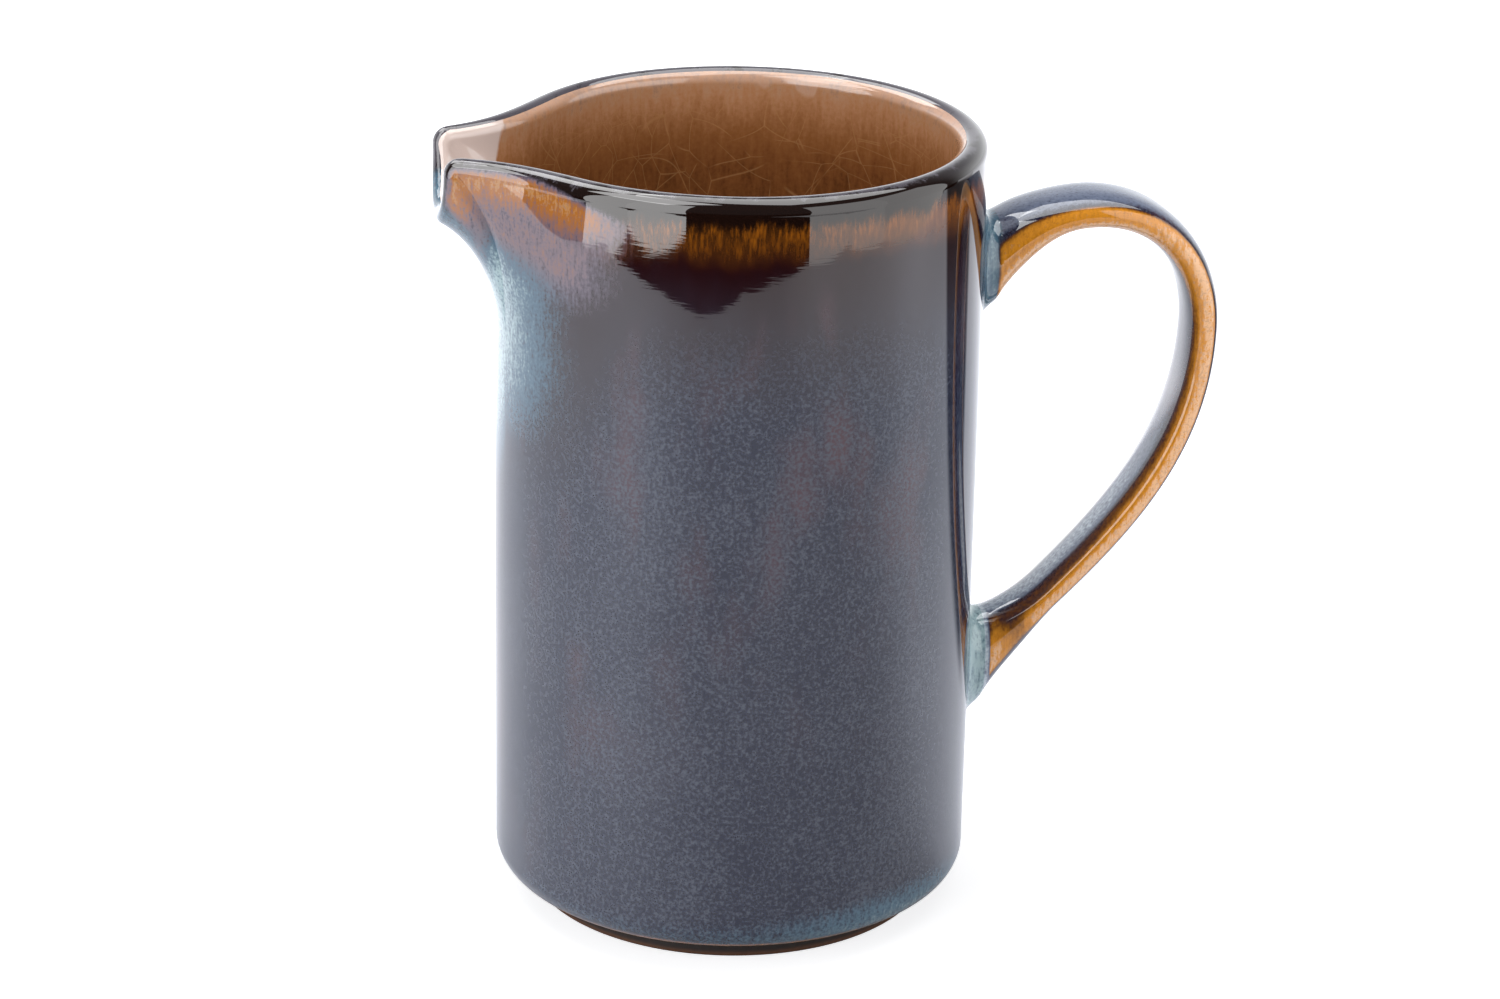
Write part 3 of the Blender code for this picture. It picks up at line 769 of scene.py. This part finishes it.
base_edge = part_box("base_glaze")[1].y
base_radii = np.append(base_edge * np.linspace(0, 1, BASE_RINGS + 1), [base_edge, 0])
base_levels = FOOT_HEIGHT - BASE_DRAW * ease((base_radii - base_edge + BASE_MENISCUS) / BASE_MENISCUS)
base_levels[-2:] = FOOT_HEIGHT + GLAZE
base_coat = mesh_piece("base_coat", vessel.circles(base_radii, base_levels))
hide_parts("base_glaze")
base_finish = Finish("dark base glaze")
base_place = base_finish.paint.place()
base_cloud = base_place.noise(scale=160, detail=4)
base_speck = base_place.noise(scale=1500)
base_brown = base_cloud * BASE_CLOUD_SHARE + base_speck * (1 - BASE_CLOUD_SHARE)
base_finish.set(Base_Color=base_brown.step(*BASE_BROWN_IN).mix(BASE_DARK, BASE_BROWN), IOR=GLAZE_IOR,
                Roughness=BASE_ROUGHNESS + base_speck * BASE_SPECK_ROUGHNESS,
                Normal=base_cloud.bump(strength=0.15, distance=0.0004))
base_finish.onto(base_coat, "base_glaze")

# Strap handle
# A strap of the same clay, pulled and bent, then attached at both ends.  The outer glaze covers it:
# slate on its broad faces, and honey amber where it thins on the narrow sides.  Painted reflections
# lighten its broad faces and the outer half of its sides, and painted shade darkens the sides' inner half.

APEX_WIDTH = 0.0145
APEX_THICKNESS = 0.0060
GRIP_WIDTH = 0.0128
GRIP_THICKNESS = 0.0054
TAIL_WIDTH = 0.0108
TAIL_THICKNESS = 0.0050
APEX_REACH = 0.0187
HANDLE_RISE = 0.0076
GRIP_DROP = 0.0210
UPPER_JOINT_DROP = 0.0224
LOWER_JOINT_HEIGHT = 0.0386
UPPER_JOINT_TALL = 0.0138
UPPER_JOINT_WIDE = 0.0156
LOWER_JOINT_TALL = 0.0154
LOWER_JOINT_WIDE = 0.0124
FLARE_LENGTH = 0.0160
UPPER_LEAVE = math.radians(48)
LOWER_ARRIVE = math.radians(45)
UPPER_PULL = 0.0055
APEX_PULL = 0.0075
GRIP_PULL = 0.0262
LOWER_PULL = 0.0240
SHOULDER_PULL = 0.59
STRAP_SQUARENESS = 2.5
STRAP_STEPS = (48, 56, 96)
STRAP_SIDES = 72
JOINT_STANDOFF = 0.0026
JOINT_PLANE = BODY_RADIUS + JOINT_STANDOFF
UPPER_JOINT = JUG_HEIGHT - UPPER_JOINT_DROP
HANDLE_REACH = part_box("handle_glaze")[1].x - AXIS_X


def strap_section(width, height):
    """Superellipse of the strap: |across|^n + |along|^n = 1, scaled to its width and height."""
    angle = np.linspace(0, 2 * math.pi, STRAP_SIDES, endpoint=False)
    cosine, sine = np.cos(angle), np.sin(angle)
    power = 2 / STRAP_SQUARENESS
    across = np.multiply.outer(width / 2, np.sign(cosine) * np.abs(cosine)**power)
    along = np.multiply.outer(height / 2, np.sign(sine) * np.abs(sine)**power)
    return across, along


def handle_path():
    """Middle line of the strap: three cubic curves, joined at its top and at its widest point.

    Gives points and directions in the plane of (x, z), the strap's width and thickness, and the
    distances along the line.
    """
    first = np.array([JOINT_PLANE, UPPER_JOINT])
    apex = np.array([BODY_RADIUS + APEX_REACH, UPPER_JOINT + HANDLE_RISE])
    grip = np.array([HANDLE_REACH - GRIP_THICKNESS / 2, apex[1] - GRIP_DROP])
    last = np.array([JOINT_PLANE, LOWER_JOINT_HEIGHT])
    leave = UPPER_PULL * np.array([math.cos(UPPER_LEAVE), math.sin(UPPER_LEAVE)])
    arrive = LOWER_PULL * np.array([math.cos(LOWER_ARRIVE), math.sin(LOWER_ARRIVE)])
    shoulder = SHOULDER_PULL * (grip - apex)
    upper, over, under = STRAP_STEPS
    curves = [bezier(first, first + leave, apex - [APEX_PULL, 0], apex, np.arange(upper) / upper),
              bezier(apex, apex + [shoulder[0], 0], grip - [0, shoulder[1]], grip, np.arange(over) / over),
              bezier(grip, grip - [0, GRIP_PULL], last + arrive, last, np.arange(under + 1) / under)]
    points = np.concatenate([curve[0] for curve in curves])
    directions = np.concatenate([curve[1] for curve in curves])
    along = np.concatenate([[0], np.cumsum(np.linalg.norm(np.diff(points, axis=0), axis=1))])
    knots = along[[upper, upper + over, -1]]
    width = np.interp(along, knots, [APEX_WIDTH, GRIP_WIDTH, TAIL_WIDTH])
    thickness = np.interp(along, knots, [APEX_THICKNESS, GRIP_THICKNESS, TAIL_THICKNESS])
    return points, directions, width, thickness, along


def handle_rings(inset):
    """The strap's section carried along its line, swollen by (1 - d / flare)^2 into both joints.

    Gives the rings, and their distances along the line as a column.
    """
    points, directions, width, thickness, along = handle_path()
    upper = np.clip(1 - along / FLARE_LENGTH, 0, 1)
    lower = np.clip(1 - (along[-1] - along) / FLARE_LENGTH, 0, 1)
    thickness = (thickness + (UPPER_JOINT_TALL - thickness) * upper**2
                 + (LOWER_JOINT_TALL - thickness) * lower**2)
    width = width + (UPPER_JOINT_WIDE - width) * upper**2 + (LOWER_JOINT_WIDE - width) * lower**2
    outward = np.column_stack([-directions[:, 1], directions[:, 0]])
    outward += (np.array([0, 1]) - outward) * ease(upper)[:, None]
    outward += (np.array([0, -1]) - outward) * ease(lower)[:, None]
    outward = unit(outward)
    across, depth = strap_section(width - 2 * inset, thickness - 2 * inset)
    rings = np.stack([points[:, :1] + depth * outward[:, :1], across,
                      points[:, 1:] + depth * outward[:, 1:]], axis=-1)
    return rings, along[:, None]


BROWN = (0.075, 0.023, 0.005)
HONEY = (0.54, 0.210, 0.016)
HONEY_PALE = (0.66, 0.375, 0.190)
LAVENDER = (0.100, 0.120, 0.175)
LILAC_WHITE = (0.42, 0.49, 0.54)
STRAP_GRIT = 0.8
ARCH = (0.022, 0.042)
LOW_END = (0.004, 0.038)
LOWER_HALF = (0.030, 0.060)
SEAM = (0.0004, 0.0016)
DARK_BAND = 0.0075
POCKET = 0.0030
BAND_SPREAD = 0.0030
SIDE_OUTER = (0.24, 0.56)
SIDE_OUTER_ARCH = 0.06
SIDE_INNER = (0.66, 0.94)
SIDE_INNER_LOWER = 0.10
INNER_HALF = (0.36, 0.71)
INNER_HALF_START = (0.036, 0.050)
INNER_THIRD = (0.20, 0.60)
INNER_THIRD_END = (0.012, 0.034)
OUTER_HALF = (-0.30, 0.05)
ARCH_UNDERSIDE = (0.05, 0.35)
SIDE_THIN = 0.86
# Painted reflection on the outer half of the strap's side, and painted shade on its inner half.
OUTER_HALF_SHEEN = 0.42
INNER_HALF_SHADE = 0.48
LOW_THICKER = 0.06
LOW_INNER_THICKER = 0.10
THIRD_THICKER = 0.40
POCKET_THINNER = 0.25
SIDE_LEAST_THIN = 0.32
BAND_THICKER = 0.50
OUTER_FACE = (0.50, 0.80)
INNER_FACE = (0.82, 0.96)
# Pooled glaze and painted reflection on the strap's broad faces, most on the outer face and on the lower
# inner face.
FACE_POOL = 0.06
OUTER_FACE_POOL_AND_SHEEN = 0.36
INNER_FACE_POOL_AND_SHEEN = 0.12
INNER_LOWER_SHEEN = 0.55
SEAM_POOL = 0.90

strap, along = handle_rings(0)
strap_back = handle_rings(GLAZE)[0][::-HIDDEN_ROWS]
facing_out = np.sin(np.linspace(0, 2 * math.pi, STRAP_SIDES, endpoint=False))
facing_in = -facing_out
from_lower = along[-1] - along
arch = falling(along, ARCH)
low_end = falling(from_lower, LOW_END)
lower_half = falling(from_lower, LOWER_HALF)
seam = falling(from_lower, SEAM)
dark_band = bell(from_lower - DARK_BAND, BAND_SPREAD)
pocket = bell(from_lower - POCKET, BAND_SPREAD)
on_side = (falling(facing_out - SIDE_OUTER_ARCH * arch, SIDE_OUTER)
           * falling(facing_in - SIDE_INNER_LOWER * lower_half, SIDE_INNER))
inner_half = rising(facing_in, INNER_HALF) * rising(along, INNER_HALF_START)
inner_third = rising(facing_in, INNER_THIRD) * falling(from_lower, INNER_THIRD_END)
outer_half = rising(facing_out, OUTER_HALF) * (1 - arch) + rising(facing_in, ARCH_UNDERSIDE) * arch
# Partly thin glaze, partly painted light: the side is darker on its inner half (painted shade) and paler
# peach on its outer half (painted reflection).
side_thin_and_shading = (SIDE_THIN + OUTER_HALF_SHEEN * outer_half - INNER_HALF_SHADE * inner_half * (1 - arch)
             - (LOW_THICKER + LOW_INNER_THICKER * inner_half) * low_end
             - THIRD_THICKER * inner_third * (1 - pocket) + POCKET_THINNER * pocket * inner_half)
side_thin_and_shading = np.maximum(side_thin_and_shading, SIDE_LEAST_THIN) * (1 - BAND_THICKER * dark_band * (1 - inner_half))
strap_thin_and_shading = on_side * side_thin_and_shading * (1 - seam)
# Partly pooled glaze, partly painted reflection: the broad faces turn pale lilac, most of all the lower
# inner face, for the white surroundings they mirror at a grazing angle.
face_pool_and_sheen = (FACE_POOL + OUTER_FACE_POOL_AND_SHEEN * rising(facing_out, OUTER_FACE)
             + (INNER_FACE_POOL_AND_SHEEN + INNER_LOWER_SHEEN * lower_half) * rising(facing_in, INNER_FACE))
strap_pool_and_sheen = face_pool_and_sheen * (1 - on_side) * (1 - seam) + SEAM_POOL * seam
strap_run = np.full(strap.shape[:2], BREAK_SPAN)
strap_coat = mesh_piece("strap_coat", np.concatenate([strap, strap_back]), loop=True,
                        run=with_back(strap_run, strap_back), thin=with_back(strap_thin_and_shading, strap_back),
                        pool=with_back(strap_pool_and_sheen, strap_back))
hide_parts("handle_glaze")
strap_glaze = reactive_glaze("honey glaze on the strap", BROWN, HONEY, HONEY_PALE, LAVENDER, LILAC_WHITE,
                             STRAP_GRIT)
strap_glaze.onto(strap_coat, "handle_glaze")
bare_clay("strap stoneware").onto(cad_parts["stoneware_handle"], "handle_stoneware")

# Slip joints
# Wet slip lutes each end of the strap to the body and is smoothed into a hollow fillet.  The glaze
# pools there and stays milky teal.

JOINT_FILLET = 0.0024
JOINT_TAIL = 0.0048
FILLET_ROWS = 20
FILLET_LEAVE = 0.55
FILLET_ARRIVE = 0.40
ROOT_SINK = 0.00003
HEM_MARGIN = 0.0004
HEM_SINK = 0.0002
JOINT_GRIT = 0.7
JOINT_POOL = 0.30
FILLET_MILK = {"upper_slip_joint": 0.58, "lower_slip_joint": 1.00}
MILK_FILLS = (0, 0.35)
MILK_ENDS = (0.65, 0.95)
HONEY_STARTS = (0.70, 1.00)


def joint_rings(end, leaving, level, wide, tall, upright):
    """Cubic curves, one for each column, from the body's wall to the strap's end ring.

    Each leaves the wall along its surface and arrives along the strap's own surface.  The outline
    on the wall is the strap's section, let out by a margin all round and by a longer one below.
    """
    across, along = (section[0] for section in strap_section(np.array([wide + 2 * JOINT_FILLET]),
                                                              np.array([tall + 2 * JOINT_FILLET])))
    along = along * upright
    along = np.where(along < 0, along * (tall / 2 + JOINT_TAIL) / (tall / 2 + JOINT_FILLET), along)
    radius = BODY_RADIUS - ROOT_SINK
    foot = np.column_stack([np.sqrt(radius**2 - across**2), across, level + along])
    normal = unit(foot * [1, 1, 0])
    inward = end - foot
    inward = unit(inward - (inward * normal).sum(axis=1, keepdims=True) * normal)
    reach = np.linalg.norm(end - foot, axis=1, keepdims=True)
    t = np.linspace(0, 1, FILLET_ROWS + 1)[:, None, None]
    fillet = ((1 - t)**3 * foot + 3 * (1 - t)**2 * t * (foot + FILLET_LEAVE * reach * inward)
              + 3 * (1 - t) * t**2 * (end - FILLET_ARRIVE * reach * leaving) + t**3 * end)
    hem = foot - HEM_MARGIN * inward - HEM_SINK * normal
    seat = np.broadcast_to(hem.mean(axis=0) * [0, 1, 1] + [radius - COAT, 0, 0], hem.shape)
    middle = np.broadcast_to(end.mean(axis=0), end.shape)
    return np.concatenate([seat[None], hem[None], fillet, middle[None]])


joints = {"upper_slip_joint": (strap[0], unit(strap[1] - strap[0]), UPPER_JOINT,
                               UPPER_JOINT_WIDE, UPPER_JOINT_TALL, 1, strap_thin_and_shading[0], strap_pool_and_sheen[0]),
          "lower_slip_joint": (strap[-1], unit(strap[-2] - strap[-1]), LOWER_JOINT_HEIGHT,
                               LOWER_JOINT_WIDE, LOWER_JOINT_TALL, -1, strap_thin_and_shading[-1], strap_pool_and_sheen[-1])}
for node, (end, leaving, level, wide, tall, upright, end_thin, end_pool) in joints.items():
    rings = joint_rings(end, leaving, level, wide, tall, upright)
    share = np.clip((np.arange(len(rings)) - 2) / FILLET_ROWS, 0, 1)[:, None]
    joint_run = (JUG_HEIGHT - rings[:, :, 2]) * (1 - share) + BREAK_SPAN * share
    joint_thin = end_thin * rising(share, HONEY_STARTS)
    edge_pool = JOINT_POOL + (end_pool - JOINT_POOL) * ease(share)
    filled = rising(share, MILK_FILLS) * falling(share, MILK_ENDS)
    joint_pool = edge_pool + (FILLET_MILK[node] - edge_pool) * filled
    # The lower strap end is turned over, so its rows are taken in reverse to face outwards.
    rows = slice(None, None, upright)
    fillet = mesh_piece(node.replace("slip_joint", "fillet"), rings[rows], run=joint_run[rows],
                        thin=joint_thin[rows], pool=joint_pool[rows])
    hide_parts(node)
    pooled = reactive_glaze("pooled glaze on the " + node.replace("_", " "), BROWN, HONEY, HONEY_PALE,
                            grit=JOINT_GRIT)
    pooled.onto(fillet, "pooled_glaze")

# Studio
# The jug stands on a white floor that only the camera sees.  Its reflections and its light come from
# a pale table with a curved near edge, a bright wall behind, tall soft panels on both sides and soft
# lights overhead.  The camera stands where the photograph's did.

CAMERA_TURN = math.radians(9.7)
CAMERA_PITCH = math.radians(21.579)
CAMERA_PAN = math.radians(-0.205)
CAMERA_TILT = math.radians(-0.307)
CAMERA_ROLL = math.radians(1.057)
CAMERA_DISTANCE = 0.7095
CAMERA_TARGET = Vector((AXIS_X, 0, 0.064))
CAMERA_NEAR = 0.01
LENS = 101.68

camera = bpy.data.objects.new("camera", bpy.data.cameras.new("camera"))
camera.data.lens = LENS
camera.data.clip_start = CAMERA_NEAR
facing = Matrix.Rotation(-CAMERA_TURN, 4, "Z") @ Matrix.Rotation(math.pi / 2 - CAMERA_PITCH, 4, "X")
nudge = (Matrix.Rotation(CAMERA_PAN, 4, "Y") @ Matrix.Rotation(-CAMERA_TILT, 4, "X")
         @ Matrix.Rotation(CAMERA_ROLL, 4, "Z"))
camera.matrix_world = (Matrix.Translation(CAMERA_TARGET + facing @ Vector((0, 0, CAMERA_DISTANCE)))
                       @ facing @ nudge)
bpy.context.collection.objects.link(camera)
bpy.context.scene.camera = camera

FLOOR_REACH = 6.0
FLOOR_CORNERS = ((-FLOOR_REACH, -FLOOR_REACH), (FLOOR_REACH, -FLOOR_REACH),
                 (FLOOR_REACH, FLOOR_REACH), (-FLOOR_REACH, FLOOR_REACH))
FLOOR_WHITE = (0.86, 0.86, 0.87)
FLOOR_GLOW = 0.9
MATT = 0.8
# The jug's wall mirrors the table's near edge as the outline of the dark patch below the rim.
TABLE_EDGE = ((-3.0, 3.0), (-3.0, 0.90), (-0.50, 0.10), (-0.42, -0.135), (-0.356, -0.216),
              (-0.291, -0.276), (-0.235, -0.312), (-0.165, -0.344), (-0.067, -0.390), (0.020, -0.400),
              (0.126, -0.389), (0.25, -0.330), (0.345, -0.220), (0.40, -0.080), (0.45, 0.10),
              (3.0, 0.90), (3.0, 3.0))
TABLE_LIFT = 0.0002
TABLE_GREY = (0.42, 0.42, 0.43)
TABLE_PALE = (0.72, 0.74, 0.80)
# Colour of a painted shadow on the table.
TABLE_PAINTED_SHADOW = (0.03, 0.03, 0.035)
TABLE_GLOW = (1.0, 1.0, 1.04)
PALE_SIDES = (-0.90, -0.35)
PALE_SKEW = 0.14
SHADE_FRONT = (0.046, 0.062)
SHADE_BACK = (-0.015, 0.005)
SHADE_SLOPE = 0.60
BACK_GLOW = 1.4
BACK_GLOW_IN = (0.12, 0.45)
EDGE_GLOW = 0.35
EDGE_GLOW_REACH = (0.26, 0.41)
EDGE_GLOW_RIGHT = (0.02, 0.16)
EDGE_GLOW_BACK = (-0.10, 0.05)


def flat_card(name, outline, level):
    """A level sheet with the given outline, and its matt finish; it isn't part of the jug."""
    mesh = bpy.data.meshes.new(name)
    mesh.from_pydata([(x, y, level) for x, y in outline], [], [tuple(range(len(outline)))])
    card = bpy.data.objects.new(name, mesh)
    bpy.context.collection.objects.link(card)
    finish = Finish(name)
    finish.set(Roughness=MATT)
    mesh.materials.append(finish.material)
    return card, finish


floor, floor_finish = flat_card("floor", FLOOR_CORNERS, 0)
floor.visible_glossy = False
floor.visible_diffuse = False
floor_finish.set(Base_Color=(*FLOOR_WHITE, 1), Emission_Color=(*FLOOR_WHITE, 1),
                 Emission_Strength=FLOOR_GLOW)

table, table_finish = flat_card("table", TABLE_EDGE, TABLE_LIFT)
table.visible_camera = False
table.visible_shadow = False
spot = table_finish.paint.place()
spot_x = spot.axis(0)
spot_y = spot.axis(1)
spot_way = spot.node("ShaderNodeVectorMath", {"operation": "NORMALIZE"}, {0: spot})
spot_reach = spot.node("ShaderNodeVectorMath", {"operation": "LENGTH"}, {0: spot}, 1)
# Painted shade: the table is grey towards the camera and pale at the sides and back, for the darker room
# in front.
sides = (spot_way.axis(1) - PALE_SKEW * spot_way.axis(0)).step(*PALE_SIDES)
# Painted shadow: a dark sector on the table, right of and behind the jug, which the wall mirrors as the
# dark strip beside the handle.
shade = spot_y.step(*SHADE_FRONT) * (spot_x * SHADE_SLOPE - spot_y).step(*SHADE_BACK)
edge_glow = spot_reach.step(*EDGE_GLOW_REACH) * spot_x.step(*EDGE_GLOW_RIGHT)
edge_glow = edge_glow * (1 - spot_y.step(*EDGE_GLOW_BACK)) * EDGE_GLOW
table_glow = spot.node("ShaderNodeVectorMath", {"operation": "SCALE"},
                       {0: TABLE_GLOW, "Scale": spot_y.step(*BACK_GLOW_IN) * BACK_GLOW + edge_glow})
table_finish.set(Base_Color=shade.mix(sides.mix(TABLE_GREY, TABLE_PALE), TABLE_PAINTED_SHADOW),
                 Emission_Color=table_glow, Emission_Strength=1.0)

WALL_GLOW = 1.65
WALL_SHADES = ((0.10, (0.96, 0.98, 1.00)), (0.30, (0.66, 0.67, 0.69)), (0.44, (0.38, 0.39, 0.42)),
               (0.66, (0.10, 0.10, 0.11)))
WALL_IN = (0.15, 0.60)
ROOM_DARK = (0.04, 0.04, 0.042)
GROUND_DARK = (0.002, 0.002, 0.002)
GROUND_LINE = (-0.10, -0.05)

world = bpy.data.worlds.new("studio")
bpy.context.scene.world = world
world.use_nodes = True
sky = Paint(world.node_tree)
direction = sky.node("ShaderNodeTexCoord", None, None, 0)
rise = direction.axis(2)
room = direction.axis(1).step(*WALL_IN).mix(ROOM_DARK, rise.ramp(WALL_SHADES))
surround = rise.step(*GROUND_LINE).mix(GROUND_DARK, room)
background = world.node_tree.nodes["Background"]
background.inputs["Strength"].default_value = WALL_GLOW
world.node_tree.links.new(surround.socket, background.inputs["Color"])

OVERHEAD = 1.0
JUG_MIDDLE = 0.07
PANEL_REACH = 0.85
PANEL_TALL = 1.10
LEFT_PANELS = 0.4105
RIGHT_PANELS = 0.30


def soft_light(name, turn, reach, height, aim, size, glow):
    """A rectangular soft light, by its turn from the camera's side in degrees, its distance and height.

    It faces the vessel's axis at the height of its aim, and glows with the given brightness: its
    power is that times pi and its area.
    """
    light = bpy.data.lights.new(name, "AREA")
    light.shape = "RECTANGLE"
    light.size, light.size_y = size
    light.energy = glow * math.pi * size[0] * size[1]
    lamp = bpy.data.objects.new(name, light)
    bearing = math.radians(turn) - CAMERA_TURN - math.pi / 2
    place = Vector((AXIS_X + reach * math.cos(bearing), reach * math.sin(bearing), height))
    facing = (Vector((AXIS_X, 0, aim)) - place).to_track_quat("-Z", "Y")
    lamp.matrix_world = Matrix.Translation(place) @ facing.to_matrix().to_4x4()
    lamp.visible_camera = False
    bpy.context.collection.objects.link(lamp)
    return lamp


soft_light("overhead", 150, 0.20, OVERHEAD, JUG_MIDDLE, size=(0.90, 0.80), glow=3.6)
soft_light("overhead_back", 225, 0.78, OVERHEAD, JUG_MIDDLE, size=(0.57, 0.63), glow=5.0)
soft_light("left", -63, PANEL_REACH, LEFT_PANELS, LEFT_PANELS, size=(0.33, PANEL_TALL), glow=3.4)
soft_light("front_left", -38, PANEL_REACH, LEFT_PANELS, LEFT_PANELS, size=(0.424, PANEL_TALL), glow=3.7)
soft_light("front_right", 50, PANEL_REACH, RIGHT_PANELS, RIGHT_PANELS, size=(0.569, PANEL_TALL), glow=1.85)
soft_light("right", 87, PANEL_REACH, RIGHT_PANELS, RIGHT_PANELS, size=(0.569, PANEL_TALL), glow=1.65)
glint = soft_light("overhead_left", -64, 0.56, OVERHEAD, JUG_MIDDLE, size=(0.75, 0.60), glow=5.0)
glint.visible_diffuse = False
fill = soft_light("fill", 5, 0.75, 0.80, JUG_MIDDLE, size=(1.30, 0.42), glow=3.2)
fill.visible_glossy = False
bpy.context.scene.view_settings.view_transform = "Standard"
